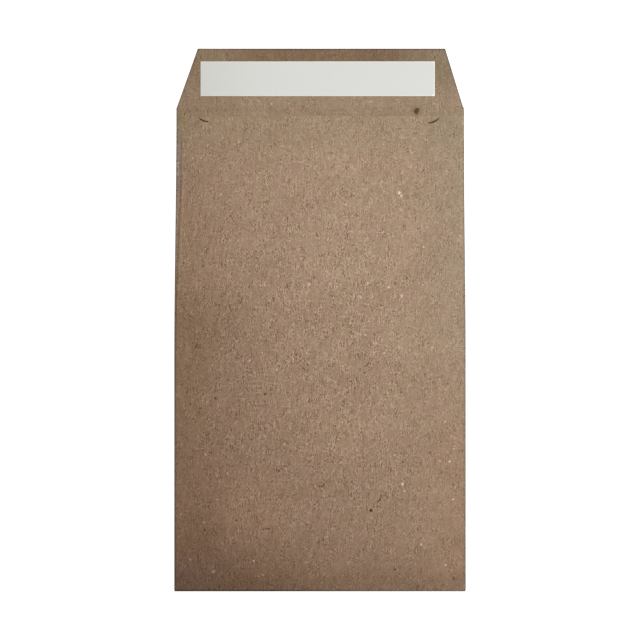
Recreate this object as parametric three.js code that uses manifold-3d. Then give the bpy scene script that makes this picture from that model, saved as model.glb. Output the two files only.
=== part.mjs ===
// A pocket envelope of brown kraft paper, lying on its front with the back upwards and the flap open.
// Units are millimetres. X runs across the envelope, Y from the bottom fold to the flap, Z up.
// The origin is under the middle of the whole outline, on the surface that the envelope lies on.
import * as THREE from "three";
import { mergeVertices } from "three/addons/utils/BufferGeometryUtils.js";
import Module from "manifold-3d";

// Paper
const paper = 0.18; // caliper of the kraft paper
const foldGap = 0.2; // clear space that the bend of a side fold leaves between its two layers
const glueBite = 0.02; // how far the glued layers sink into each other

// Pocket
const pocketWidth = 150; // across the side folds, over the lower part
const pocketLength = 248.9; // bottom fold to flap fold
const mouthDraw = 0.95; // how far each side fold draws in by the time it reaches the flap fold
const drawLength = 128; // length over which it draws in, measured from the flap fold
const throatDrop = 4.4; // from the flap fold down to the back panel's free edge
const belly = 1.3; // how far the back panel stands up in the middle of the mouth

// Flap
const flapDepth = 30.3; // flap fold to the flap's edge
const flapShoulderLeft = 0.15; // the flap's base stops this far short of the side fold
const flapShoulderRight = 0.5;
const flapSlantLeft = 10.9; // how far each end of the flap leans in over its depth
const flapSlantRight = 9.1;
const scoreWidth = 0.9; // the crease pressed in along the flap fold
const scoreDepth = 0.06;

// Side flaps, folded in under the back panel
const sideFlapLeft = 16.4;
const sideFlapRight = 18.4;
const sideFlapTopDropLeft = 7.6; // how far the slanted top cut falls towards the middle
const sideFlapTopDropRight = 8.6;
const sideFlapBottomRise = 6; // how far the slanted bottom cut climbs towards the middle
const cornerNotch = 2; // side flaps start this far above the bottom fold
const shoulderDrop = 0.4; // and their top cuts start this far below the flap fold
const seamMargin = 1; // the back panel leaves the side flaps' level this far past their inner edges

// Back panel: how far its free edges stay inside the side folds
const backInsetLeft = 0.75; // over the lower half
const backInsetLeftThroat = 2.7; // near the mouth, where the panel was folded up a little askew
const backInsetRight = 0.6;
const backInsetRightThroat = 0.2;
const skewLength = 103; // length over which the inset changes, down from the corner cut
const cornerCutWidth = 2.9; // long thin cut at the panel's top left corner
const cornerCutLength = 12.3;

// Nicks beside the side flaps' corners: a slit through the back panel, open towards the mouth side
const nickWidthLeft = 0.9;
const nickWidthRight = 1.2;
const nickRunLeft = 4.7; // how far each nick runs across
const nickRunRight = 6.2;
const nickFallLeft = 2.3; // how far it falls towards the middle
const nickFallRight = 3.9;
const nickClear = 0.3; // above the side flap's slanted cut

// Closure strip on the flap
const linerLength = 120.8;
const linerWidth = 17.8;
const linerThickness = 0.1;
const linerTopMargin = 6.6; // from the flap's edge
const linerOffset = -1; // its middle, from the envelope's middle line
const adhesiveWidth = 12;
const adhesiveThickness = 0.1;
const adhesiveEndMargin = 1; // liner past the adhesive at each end

// Finishes
const kraftColour = 0x9e846e;
const linerColour = 0xd9dad5;
const adhesiveColour = 0xdcd6c2;

// Worked out from the sizes above
const halfWidth = pocketWidth / 2;
const totalLength = pocketLength + flapDepth;
const bottomY = -totalLength / 2;
const flapFoldY = bottomY + pocketLength;
const flapEdgeY = flapFoldY + flapDepth;
const throatY = flapFoldY - throatDrop;
const sideFoldRadius = paper + foldGap / 2; // outside of the side fold's bend
const sideLayerTop = 2 * sideFoldRadius; // upper face of the side flaps
const backUnder = sideLayerTop - glueBite; // underside of the back panel where it is glued
const backTop = backUnder + paper;
const bottomFoldRadius = backTop / 2; // outside of the bottom fold's bend
const bendY = bottomY + bottomFoldRadius; // where the flat panels begin above the bottom fold

const bendSteps = 8; // flats round a fold's half turn
const lengthSteps = 16; // stations along the pocket
const archColumns = 22; // stations across the back panel between its seams
const overlapY = 1; // how far joined pieces run into each other
const legInset = 1; // how far a joining leg stays inside the edges beside it
const over = 1; // how far a cutter runs past what it cuts
const gridsPerMillimetre = 1024; // corners sit on this grid, so that faces drawn to meet do meet

const wasm = await Module();
wasm.setup();

// A closed three.js geometry as a solid that can be joined and cut.
function solid(geometry) {
  const bare = new THREE.BufferGeometry();
  bare.setAttribute("position", geometry.getAttribute("position"));
  if (geometry.index) bare.setIndex(geometry.index);
  const onGrid = (value) => Math.round(value * gridsPerMillimetre) / gridsPerMillimetre;
  const gridded = bend(bare, (point) => point.set(onGrid(point.x), onGrid(point.y), onGrid(point.z)));
  const welded = mergeVertices(gridded, 1e-5);
  const mesh = new wasm.Mesh({
    numProp: 3,
    vertProperties: new Float32Array(welded.attributes.position.array),
    triVerts: new Uint32Array(welded.index.array),
  });
  return new wasm.Manifold(mesh);
}

// The solid's surface as a geometry again, flat shaded.
function surface(made) {
  const mesh = made.getMesh();
  const geometry = new THREE.BufferGeometry();
  geometry.setAttribute("position", new THREE.BufferAttribute(mesh.vertProperties, 3));
  geometry.setIndex(new THREE.BufferAttribute(mesh.triVerts, 1));
  const flat = geometry.toNonIndexed();
  flat.computeVertexNormals();
  return flat;
}

// Moves every vertex: change takes and returns a Vector3.
function bend(geometry, change) {
  const position = geometry.getAttribute("position");
  const point = new THREE.Vector3();
  for (let i = 0; i < position.count; i++) {
    change(point.fromBufferAttribute(position, i));
    position.setXYZ(i, point.x, point.y, point.z);
  }
  return geometry;
}

// An outline in X and Y, given as [x, y] points, raised from low to high.
function slab(points, low, high) {
  const outline = new THREE.Shape(points.map(([x, y]) => new THREE.Vector2(x, y)));
  const geometry = new THREE.ExtrudeGeometry(outline, { depth: high - low, bevelEnabled: false });
  return geometry.translate(0, 0, low);
}

const smooth = THREE.MathUtils.smoothstep;

// Half the distance across the side folds at a height y: the pocket draws in a little towards its mouth.
const halfAcross = (y) => halfWidth - mouthDraw * smooth(y, flapFoldY - drawLength, flapFoldY);

// Squeezes what was drawn at the full width to the pocket's real width at each height.
const drawIn = (point) => {
  point.x *= halfAcross(point.y) / halfWidth;
  return point;
};

// The front panel, both side folds and both side flaps are one section, drawn in X and Z.
function sideSection() {
  const section = new THREE.Shape();
  const bendX = halfWidth - sideFoldRadius;
  const inner = sideFoldRadius - paper;
  section.moveTo(-bendX, 0);
  section.lineTo(bendX, 0);
  section.absarc(bendX, sideFoldRadius, sideFoldRadius, -Math.PI / 2, Math.PI / 2, false);
  section.lineTo(halfWidth - sideFlapRight, sideLayerTop);
  section.lineTo(halfWidth - sideFlapRight, sideLayerTop - paper);
  section.lineTo(bendX, sideLayerTop - paper);
  section.absarc(bendX, sideFoldRadius, inner, Math.PI / 2, -Math.PI / 2, true);
  section.lineTo(-bendX, paper);
  section.absarc(-bendX, sideFoldRadius, inner, -Math.PI / 2, -Math.PI * 1.5, true);
  section.lineTo(sideFlapLeft - halfWidth, sideLayerTop - paper);
  section.lineTo(sideFlapLeft - halfWidth, sideLayerTop);
  section.lineTo(-bendX, sideLayerTop);
  section.absarc(-bendX, sideFoldRadius, sideFoldRadius, Math.PI / 2, Math.PI * 1.5, false);
  return section;
}

// Front panel with its side folds, from the bottom fold's bend up to the flap fold.
function frontAndSides() {
  const depth = flapFoldY - bendY;
  const settings = { depth, steps: lengthSteps, bevelEnabled: false, curveSegments: bendSteps };
  const geometry = new THREE.ExtrudeGeometry(sideSection(), settings);
  geometry.rotateX(Math.PI / 2).translate(0, flapFoldY, 0);
  return solid(bend(geometry, drawIn));
}

// What the slanted cuts take off a side flap's two ends. side is -1 on the left and 1 on the right.
function sideFlapCuts(side, width, topDrop) {
  const low = paper + foldGap * 0.75;
  const high = sideLayerTop + over;
  const outer = side * (halfWidth + over);
  const inner = side * (halfWidth - width - over);
  const fold = side * halfWidth;
  const startY = flapFoldY - shoulderDrop;
  const topSlope = (topDrop - shoulderDrop) / width;
  const bottomSlope = sideFlapBottomRise / width;
  const top = [
    [outer, flapFoldY + over],
    [inner, flapFoldY + over],
    [inner, startY - topSlope * (width + over)],
    [fold, startY],
    [outer, startY],
  ];
  const notchY = bendY + cornerNotch;
  const bottom = [
    [outer, bottomY - over],
    [inner, bottomY - over],
    [inner, notchY + bottomSlope * (width + over)],
    [fold, notchY],
    [outer, notchY],
  ];
  return [top, bottom].map((points) => solid(bend(slab(points, low, high), drawIn)));
}

// The flap lies in the plane of the front panel, whose sheet runs on into it.
function flap() {
  const base = halfAcross(flapFoldY);
  const left = -base + flapShoulderLeft;
  const right = base - flapShoulderRight;
  const points = [
    [left + legInset, flapFoldY],
    [left + legInset, flapFoldY - overlapY],
    [right - legInset, flapFoldY - overlapY],
    [right - legInset, flapFoldY],
    [right, flapFoldY],
    [right - flapSlantRight, flapEdgeY],
    [left + flapSlantLeft, flapEdgeY],
    [left, flapFoldY],
  ];
  return solid(slab(points, 0, paper));
}

// The crease along the flap fold is a shallow V in the sheet's inner face.
function flapScore() {
  const groove = new THREE.Shape();
  groove.moveTo(-scoreWidth / 2, 0);
  groove.lineTo(0, -scoreDepth);
  groove.lineTo(scoreWidth / 2, 0);
  groove.lineTo(scoreWidth / 2, over);
  groove.lineTo(-scoreWidth / 2, over);
  const settings = { depth: pocketWidth + 2 * over, bevelEnabled: false };
  const geometry = new THREE.ExtrudeGeometry(groove, settings);
  geometry.translate(0, 0, -halfWidth - over);
  geometry.rotateY(Math.PI / 2).rotateX(Math.PI / 2);
  return solid(geometry.translate(0, flapFoldY - scoreWidth / 3, paper));
}

// The back panel's free side edges at a height y.
function backEdges(y) {
  const skewTop = throatY - cornerCutLength;
  const askew = smooth(y, skewTop - skewLength, skewTop);
  const cut = cornerCutWidth * THREE.MathUtils.clamp((y - skewTop) / cornerCutLength, 0, 1);
  const insetLeft = THREE.MathUtils.lerp(backInsetLeft, backInsetLeftThroat, askew) + cut;
  const insetRight = THREE.MathUtils.lerp(backInsetRight, backInsetRightThroat, askew);
  return [insetLeft - halfAcross(y), halfAcross(y) - insetRight];
}

// A thin plate with stations both ways, shaped to the back panel's outline and arched over the pocket.
// Its first and last columns are the glued seams, which stay level. The rest stands up towards the mouth.
function backPanel() {
  const length = throatY - bendY;
  const archFootY = bendY + length / lengthSteps; // level up to the first station, where the bend joins it
  const columns = archColumns + 2;
  const geometry = new THREE.BoxGeometry(columns, length, paper, columns, lengthSteps, 1);
  geometry.translate(columns / 2 - 1, bendY + length / 2, backUnder + paper / 2);
  const shape = (point) => {
    const across = THREE.MathUtils.clamp(point.x / archColumns, 0, 1);
    const scale = halfAcross(point.y) / halfWidth;
    const archLeft = (sideFlapLeft + seamMargin - halfWidth) * scale;
    const archRight = (halfWidth - sideFlapRight - seamMargin) * scale;
    const [left, right] = backEdges(point.y);
    if (point.x < -0.5) point.x = left;
    else if (point.x > archColumns + 0.5) point.x = right;
    else point.x = THREE.MathUtils.lerp(archLeft, archRight, across);
    point.z += belly * Math.sin(Math.PI * across) ** 2 * smooth(point.y, archFootY, throatY);
    return point;
  };
  return solid(bend(geometry, shape));
}

// The bend that carries the front panel round into the back panel, with a short leg in each of them.
function bottomFold() {
  const section = new THREE.Shape();
  const inner = bottomFoldRadius - paper;
  section.moveTo(overlapY, 0);
  section.lineTo(overlapY, paper);
  section.lineTo(0, paper);
  section.absarc(0, bottomFoldRadius, inner, -Math.PI / 2, -Math.PI * 1.5, true);
  section.lineTo(overlapY, backUnder);
  section.lineTo(overlapY, backTop);
  section.lineTo(0, backTop);
  section.absarc(0, bottomFoldRadius, bottomFoldRadius, Math.PI / 2, Math.PI * 1.5, false);
  const across = pocketWidth - backInsetLeft - backInsetRight;
  const settings = { depth: across, bevelEnabled: false, curveSegments: bendSteps };
  const geometry = new THREE.ExtrudeGeometry(section, settings);
  geometry.rotateX(Math.PI / 2).rotateZ(Math.PI / 2);
  return solid(geometry.translate(backInsetLeft - halfWidth, bendY, 0));
}

// A curved sliver from a nick's outer end to its inner end, as deep as the pocket is thick.
function nick(side, width, run, fall, innerX, innerY) {
  const outline = new THREE.Shape();
  const outerX = innerX + side * run;
  const outerY = innerY + fall;
  const middleX = (innerX + outerX) / 2;
  const middleY = innerY + fall / 2;
  outline.moveTo(outerX, outerY);
  outline.quadraticCurveTo(middleX - side * width * 0.2, middleY - width * 0.1, innerX, innerY);
  outline.quadraticCurveTo(middleX + side * width * 0.5, middleY - width * 1.3, outerX, outerY);
  const settings = { depth: backTop + belly, bevelEnabled: false, curveSegments: bendSteps };
  const geometry = new THREE.ExtrudeGeometry(outline, settings);
  return solid(geometry.translate(0, 0, sideLayerTop - paper - foldGap / 2));
}

// Both nicks end at the side flaps' inner corners.
function nicks() {
  const mouthScale = halfAcross(throatY) / halfWidth;
  const leftX = (sideFlapLeft - halfWidth) * mouthScale;
  const rightX = (halfWidth - sideFlapRight) * mouthScale;
  const leftY = flapFoldY - sideFlapTopDropLeft + nickClear;
  const rightY = flapFoldY - sideFlapTopDropRight + nickClear;
  return [
    nick(-1, nickWidthLeft, nickRunLeft, nickFallLeft, leftX, leftY),
    nick(1, nickWidthRight, nickRunRight, nickFallRight, rightX, rightY),
  ];
}

function envelopeSheet() {
  let sheet = frontAndSides();
  const leftCuts = sideFlapCuts(-1, sideFlapLeft, sideFlapTopDropLeft);
  const rightCuts = sideFlapCuts(1, sideFlapRight, sideFlapTopDropRight);
  for (const cut of [...leftCuts, ...rightCuts]) sheet = sheet.subtract(cut);
  sheet = sheet.add(flap()).subtract(flapScore());
  let back = backPanel().add(bottomFold());
  for (const cut of nicks()) back = back.subtract(cut);
  return surface(sheet.add(back));
}

// A strip of the closure, centred on its place on the flap.
function strip(length, width, thickness) {
  return new THREE.BoxGeometry(length, width, thickness).translate(0, 0, thickness / 2);
}

const finish = (color, roughness) => new THREE.MeshStandardMaterial({ color, roughness, metalness: 0 });

const envelope = new THREE.Group();
const stripY = flapEdgeY - linerTopMargin - linerWidth / 2;

const sheet = new THREE.Mesh(envelopeSheet(), finish(kraftColour, 0.92));
sheet.name = "envelope_sheet";

const adhesiveLength = linerLength - 2 * adhesiveEndMargin;
const adhesiveShape = strip(adhesiveLength, adhesiveWidth, adhesiveThickness);
const adhesive = new THREE.Mesh(adhesiveShape, finish(adhesiveColour, 0.35));
adhesive.name = "adhesive_strip";
adhesive.position.set(linerOffset, stripY, paper);

const linerShape = strip(linerLength, linerWidth, linerThickness);
const liner = new THREE.Mesh(linerShape, finish(linerColour, 0.5));
liner.name = "release_liner";
liner.position.set(linerOffset, stripY, paper + adhesiveThickness);

envelope.add(sheet, adhesive, liner);

export default envelope;
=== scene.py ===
# %% [markdown]
# # A pocket envelope in brown kraft paper
# The real thing is one die-cut sheet of recycled kraft paper. Its sides fold in, its long tail folds up
# and is glued over them as the back panel, and the flap with its closing strip is left open at the top.
# It lies on its front. The CAD model holds the sizes, so this script starts from it and adds what paper
# does: soft bends, a mouth that stands a little open, fibres, flecks and handling marks.

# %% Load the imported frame
import math

import bmesh
import bpy
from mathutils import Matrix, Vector, noise


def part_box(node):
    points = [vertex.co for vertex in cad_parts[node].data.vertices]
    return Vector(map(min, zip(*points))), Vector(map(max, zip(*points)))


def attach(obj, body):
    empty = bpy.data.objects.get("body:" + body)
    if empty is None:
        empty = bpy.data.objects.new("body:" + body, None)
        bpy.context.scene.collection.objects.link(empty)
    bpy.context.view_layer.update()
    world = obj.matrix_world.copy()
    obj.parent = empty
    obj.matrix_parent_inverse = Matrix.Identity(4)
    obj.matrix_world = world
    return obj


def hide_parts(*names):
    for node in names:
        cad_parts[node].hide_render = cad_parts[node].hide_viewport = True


MM = 0.001


def box_in_mm(low, high):
    """A box's size in millimetres, for printing."""
    return [round((b - a) / MM, 2) for a, b in zip(low, high)]


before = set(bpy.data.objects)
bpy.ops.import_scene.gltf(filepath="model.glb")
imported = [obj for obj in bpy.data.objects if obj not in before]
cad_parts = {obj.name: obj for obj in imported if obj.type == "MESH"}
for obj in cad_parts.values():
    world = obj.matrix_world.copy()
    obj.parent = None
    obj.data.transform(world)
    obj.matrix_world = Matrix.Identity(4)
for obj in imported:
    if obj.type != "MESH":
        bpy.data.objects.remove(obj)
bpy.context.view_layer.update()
print("CAD nodes:", sorted(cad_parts))

# %% [markdown]
# ## The camera
# The photograph looks straight down. A long lens with no tilt keeps the long sides as straight as they
# are there. The frame is square, and its width on the table is the only number that has to be right.

# %% A camera straight above the middle
FRAME_WIDTH = 329.1 * MM
LENS = 100.0
SENSOR = 36.0
BACK_LEVEL = 1 * MM  # the width is measured at the back panel's height
FARTHEST = 10.0

camera_data = bpy.data.cameras.new("camera_above")
camera_data.lens = LENS
camera_data.sensor_width = SENSOR
camera_data.clip_end = FARTHEST
camera = bpy.data.objects.new("camera_above", camera_data)
camera.location = (0, 0, FRAME_WIDTH * LENS / SENSOR + BACK_LEVEL)
bpy.context.scene.collection.objects.link(camera)
bpy.context.scene.camera = camera
print("camera height in mm:", round(camera.location.z / MM, 1))

# %% [markdown]
# ## Sizes
# The outer sizes are read from the CAD boxes, so this script can't drift away from them. The inner ones,
# such as how far the side flaps reach, are the part's own named values. A few of them are finer here,
# where the photograph shows that the left and the right side differ by tenths of a millimetre. All are
# in millimetres, and the finished mesh is scaled to metres in one step.

# %% Sizes of the sheet
LEFT = -1
RIGHT = 1
sheet_low, sheet_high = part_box("envelope_sheet")
HALF_WIDTH = sheet_high.x / MM
BOTTOM_Y = sheet_low.y / MM
FLAP_EDGE_Y = sheet_high.y / MM
PAPER = 0.18
FLAP_DEPTH = 30.3
FLAP_FOLD_Y = FLAP_EDGE_Y - FLAP_DEPTH
THROAT_DROP = 4.4
THROAT_Y = FLAP_FOLD_Y - THROAT_DROP
MOUTH_DRAW = {LEFT: 1.12, RIGHT: 0.77}  # how far the side folds draw in towards the mouth
DRAW_TOP = {LEFT: FLAP_FOLD_Y, RIGHT: 82.0}
DRAW_LENGTH = {LEFT: 130.0, RIGHT: 100.0}
SIDE_FLAP = {LEFT: 16.4, RIGHT: 18.4}
SIDE_FLAP_TOP_DROP = {LEFT: 7.6, RIGHT: 8.6}  # how far their slanted ends fall and climb
SIDE_FLAP_BOTTOM_RISE = 6.0
CORNER_NOTCH = 2.0
SHOULDER_DROP = 0.4
print("pocket", 2 * HALF_WIDTH, "by", FLAP_FOLD_Y - BOTTOM_Y, "mm, flap", FLAP_DEPTH, "mm")

# %% [markdown]
# The folds are round, not sharp: paper of this weight turns with a small radius. The side folds hold two
# layers, and the bottom fold has to climb over the side flaps, so its bend is the larger one. These
# values follow the middle of the paper's thickness, because the sheet is folded first and gets its
# thickness last.

# %% Where each panel's middle surface lies
MIDDLE = PAPER / 2
SIDE_BEND = 0.19
SIDE_TURN = math.pi * SIDE_BEND
BOTTOM_BEND = 0.285
BOTTOM_TURN = math.pi * BOTTOM_BEND
BACK_MIDDLE = MIDDLE + 2 * BOTTOM_BEND
FLAT_HALF = HALF_WIDTH - MIDDLE - SIDE_BEND
BEND_Y = BOTTOM_Y + MIDDLE + BOTTOM_BEND
BACK_START = BEND_Y - BOTTOM_TURN
BACK_END = BACK_START - (THROAT_Y - BEND_Y)
NOTCH_Y = BEND_Y + CORNER_NOTCH
SHOULDER_Y = FLAP_FOLD_Y - SHOULDER_DROP
print("length of the blank in mm:", round(FLAP_EDGE_Y - BACK_END, 1))

# %% [markdown]
# ## The blank
# The sheet could be built panel by panel, but then every fold would be a joint to hide. Starting from
# one flat grid, as the paper factory starts from one flat blank, makes the folds part of the sheet and
# gives the paper's pattern one unbroken map. The grid's lines are spread so that they are dense in the
# bends and along the edges and wide apart elsewhere.

# %% Stations across and along the blank
EDGE = 3.0
BEND_STEPS = 8
SIDE_FLAP_STEP = 2.0
PANEL_STEP = 1.9
EDGE_STEP = 0.6
NOTCH_STEP = 0.5
BELOW_SHOULDER_STEP = 0.4
SHOULDER_STEP = 0.2
CREASE_STEP = 0.3
FLAP_STEP = 1.5
FLAP_EDGE_STEP = 0.5


def stations(start, *legs):
    """Rising values from start on. Each leg is where it ends and about how far apart its values are."""
    values = {round(start, 5)}
    for end, step in legs:
        count = max(1, round((end - start) / step))
        values |= {round(start + (end - start) * i / count, 5) for i in range(count + 1)}
        start = end
    return sorted(values)


def blank_reach(side):
    """How far the blank reaches from its middle, with the side flap laid flat."""
    return FLAT_HALF + SIDE_TURN + (FLAT_HALF - HALF_WIDTH + SIDE_FLAP[side])


columns = stations(
    -blank_reach(LEFT),
    (-FLAT_HALF - SIDE_TURN, SIDE_FLAP_STEP),
    (-FLAT_HALF, SIDE_TURN / BEND_STEPS),
    (EDGE - FLAT_HALF, EDGE_STEP),
    (FLAT_HALF - EDGE, PANEL_STEP),
    (FLAT_HALF, EDGE_STEP),
    (FLAT_HALF + SIDE_TURN, SIDE_TURN / BEND_STEPS),
    (blank_reach(RIGHT), SIDE_FLAP_STEP),
)
rows = stations(
    BACK_END,
    (BACK_END + EDGE, EDGE_STEP),
    (BACK_START - EDGE, PANEL_STEP),
    (BACK_START, EDGE_STEP),
    (BEND_Y, BOTTOM_TURN / BEND_STEPS),
    (NOTCH_Y, NOTCH_STEP),
    (FLAP_FOLD_Y - EDGE, PANEL_STEP),
    (SHOULDER_Y, BELOW_SHOULDER_STEP),
    (FLAP_FOLD_Y, SHOULDER_STEP),
    (FLAP_FOLD_Y + EDGE, CREASE_STEP),
    (FLAP_EDGE_Y - EDGE, FLAP_STEP),
    (FLAP_EDGE_Y, FLAP_EDGE_STEP),
)
print(len(columns), "stations across,", len(rows), "along")


# %% One flat grid on those stations
def flat_grid(across, along, half_size=0.5):
    """A square grid of that many faces across and along."""
    made = bmesh.new()
    bmesh.ops.create_grid(made, x_segments=across, y_segments=along, size=half_size)
    return made


blank = flat_grid(len(columns) - 1, len(rows) - 1)
for vert in blank.verts:
    vert.co.x = columns[round((vert.co.x + 0.5) * (len(columns) - 1))]
    vert.co.y = rows[round((vert.co.y + 0.5) * (len(rows) - 1))]
print("faces in the full grid:", len(blank.faces))


# %% [markdown]
# The blank isn't a rectangle. Only the front panel has side flaps, which begin a notch above the bottom
# fold and end under the flap fold. What lies outside the cut is deleted.

# %% Delete what the die cuts away
def cut_away(u, v):
    """Whether the die takes this point off the blank."""
    past = abs(u) - FLAT_HALF
    if v < BEND_Y or v > FLAP_FOLD_Y:
        return past > 0
    if v < NOTCH_Y or v > SHOULDER_Y:
        return past > SIDE_TURN / 2
    return False


waste = [face for face in blank.faces if cut_away(*face.calc_center_median().xy)]
bmesh.ops.delete(blank, geom=waste, context="FACES")
print("faces in the blank:", len(blank.faces))


# %% [markdown]
# ## The folds
# Each point of the blank gets its folded place from where it lies: on a flat panel it only shifts, and
# in a bend it runs round a half circle. The outlines follow the CAD's. The pocket draws in a little
# towards its mouth, and the back panel was folded up slightly askew, so on the left it leaves a strip of
# the side flap in view that widens towards the mouth. In the last few millimetres above the bottom fold
# its edges run out to the fold's own corners, so the bottom corners look square.

# %% How far the side folds draw in
def clamp(share):
    return min(max(share, 0.0), 1.0)


def smooth(value, low, high):
    """0 below low, 1 above high, and an S curve between them."""
    share = clamp((value - low) / (high - low))
    return share * share * (3 - 2 * share)


def between(low, high, share):
    return low + (high - low) * share


def half_across(y, side):
    """How far the side fold lies from the middle at the height y."""
    return HALF_WIDTH - MOUTH_DRAW[side] * smooth(y, DRAW_TOP[side] - DRAW_LENGTH[side], DRAW_TOP[side])


print("width at the mouth in mm:", round(half_across(THROAT_Y, LEFT) + half_across(THROAT_Y, RIGHT), 1))

# %% Outlines of the back panel and the flap
CORNER_CUT_WIDTH = 2.9
CORNER_CUT_LENGTH = 12.3
INSET_LOW = {LEFT: 0.8, RIGHT: 0.6}  # the back panel's edges lie this far inside the side folds
INSET_HIGH = {LEFT: 2.75, RIGHT: 0.2}
SKEW_TOP = THROAT_Y - CORNER_CUT_LENGTH
SKEW_LENGTH = 103.0
SQUARED = {LEFT: 0.62, RIGHT: 0.4}
SQUARED_LENGTH = 5.0
FLAP_SHOULDER = {LEFT: 0.15, RIGHT: 0.5}
FLAP_SLANT = {LEFT: 10.9, RIGHT: 9.35}


def back_edges(y):
    """The back panel's free left and right edges at the height y."""
    askew = smooth(y, SKEW_TOP - SKEW_LENGTH, SKEW_TOP)
    corner = CORNER_CUT_WIDTH * clamp((y - SKEW_TOP) / CORNER_CUT_LENGTH)
    low = smooth(y, BEND_Y + SQUARED_LENGTH, BEND_Y)
    left = between(INSET_LOW[LEFT], INSET_HIGH[LEFT], askew) + corner - SQUARED[LEFT] * low
    right = between(INSET_LOW[RIGHT], INSET_HIGH[RIGHT], askew) - SQUARED[RIGHT] * low
    return left - half_across(y, LEFT), half_across(y, RIGHT) - right


def flap_edges(y):
    """The flap's slanted left and right ends at the height y."""
    share = (y - FLAP_FOLD_Y) / FLAP_DEPTH
    left = FLAP_SHOULDER[LEFT] - half_across(FLAP_FOLD_Y, LEFT) + FLAP_SLANT[LEFT] * share
    right = half_across(FLAP_FOLD_Y, RIGHT) - FLAP_SHOULDER[RIGHT] - FLAP_SLANT[RIGHT] * share
    return left, right


print("back panel at its free edge:", [round(x, 2) for x in back_edges(THROAT_Y)])

# %% [markdown]
# Paper never lies dead flat. The back panel arches where the mouth stands open and has slow waves in it,
# the flap lifts off the table towards its edge, and the pressed crease leaves a narrow valley between
# two soft shoulders. A Perlin noise with a fixed offset gives the same waves on each run.

# %% How far each panel stands up
BELLY = 1.3
BELLY_START = 14.0  # above the bottom fold
SEAM_MARGIN = 1.0
WAVES = ((0.16, 38, 2.3), (0.08, 15, 7.1))  # height, length and offset
WAVE_LEVEL = 0.12
WAVE_START = 30.0
FLAP_RISE = 0.5
FLAP_CURL = 1.4
FLAP_WAVE = 0.12
FLAP_WAVES = (24, 4.4)
CREASE_HEIGHT = 0.13
CREASE_SHOULDER = 2.6
CREASE_VALLEY = 0.6


def wave(x, y, length, offset):
    """Slow noise between about -1 and 1."""
    return noise.noise(Vector((x / length, y / length, offset)))


def back_rise(x, y):
    """How far the back panel stands above its glued level."""
    left = SIDE_FLAP[LEFT] + SEAM_MARGIN - half_across(y, LEFT)
    right = half_across(y, RIGHT) - SIDE_FLAP[RIGHT] - SEAM_MARGIN
    free = math.sin(math.pi * clamp((x - left) / (right - left))) ** 2
    arch = BELLY * free * smooth(y, BEND_Y + BELLY_START, THROAT_Y)
    waves = sum(height * wave(x, y, length, offset) for height, length, offset in WAVES)
    return arch + (waves + WAVE_LEVEL) * min(1, 3 * free) * smooth(y, BEND_Y, BEND_Y + WAVE_START)


def flap_lift(x, y):
    """How far the flap stands above the table."""
    share = max(0.0, (y - FLAP_FOLD_Y) / FLAP_DEPTH)
    return FLAP_RISE * share**FLAP_CURL + FLAP_WAVE * share * (1 + wave(x, y, *FLAP_WAVES))


def crease_shape(y):
    """The pressed flap crease: a valley between two shoulders."""
    from_crease = y - FLAP_FOLD_Y
    shoulder = math.exp(-((from_crease / CREASE_SHOULDER) ** 2))
    return CREASE_HEIGHT * (shoulder - math.exp(-((from_crease / CREASE_VALLEY) ** 2)))


print("rise in the middle of the mouth in mm:", round(back_rise(0, THROAT_Y), 2))

# %% [markdown]
# A side fold that is pressed flat has a wide, shallow bend on the upper side: near the mouth, where no
# back panel holds it down, it rounds off over more than a millimetre. So the bend is half an ellipse
# whose reach grows towards the mouth.

# %% Fold the side flaps in
LOOSE_LENGTH = 110.0
LOOSE_REACH = {LEFT: 1.3, RIGHT: 0.6}


def side_section(u, y):
    """Where a point of the front sheet lands at the height y: across and up."""
    side = LEFT if u < 0 else RIGHT
    squeeze = half_across(y, side) / HALF_WIDTH
    past = abs(u) - FLAT_HALF
    if past <= 0:
        return side * abs(u) * squeeze, MIDDLE
    reach = SIDE_BEND + LOOSE_REACH[side] * smooth(y, FLAP_FOLD_Y - LOOSE_LENGTH, FLAP_FOLD_Y)
    bend_x = HALF_WIDTH - MIDDLE - reach
    if past < SIDE_TURN:
        turn = past / SIDE_BEND
        x = bend_x + reach * math.sin(turn)
        if past < SIDE_TURN / 2:
            x = between(FLAT_HALF, HALF_WIDTH - MIDDLE, math.sin(turn))
        return side * x * squeeze, MIDDLE + SIDE_BEND * (1 - math.cos(turn))
    inner = HALF_WIDTH - SIDE_FLAP[side]
    share = (past - SIDE_TURN) / (FLAT_HALF - inner)
    return side * between(bend_x, inner, share) * squeeze, MIDDLE + 2 * SIDE_BEND


def side_flap_y(u, v):
    """The height of a point on a side flap, whose ends are cut on a slant."""
    side = LEFT if u < 0 else RIGHT
    share = clamp((abs(u) - FLAT_HALF - SIDE_TURN) / SIDE_FLAP[side])
    along = clamp((v - NOTCH_Y) / (SHOULDER_Y - NOTCH_Y))
    top = -(SIDE_FLAP_TOP_DROP[side] - SHOULDER_DROP) * share
    return v + between(SIDE_FLAP_BOTTOM_RISE * share, top, along)


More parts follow.
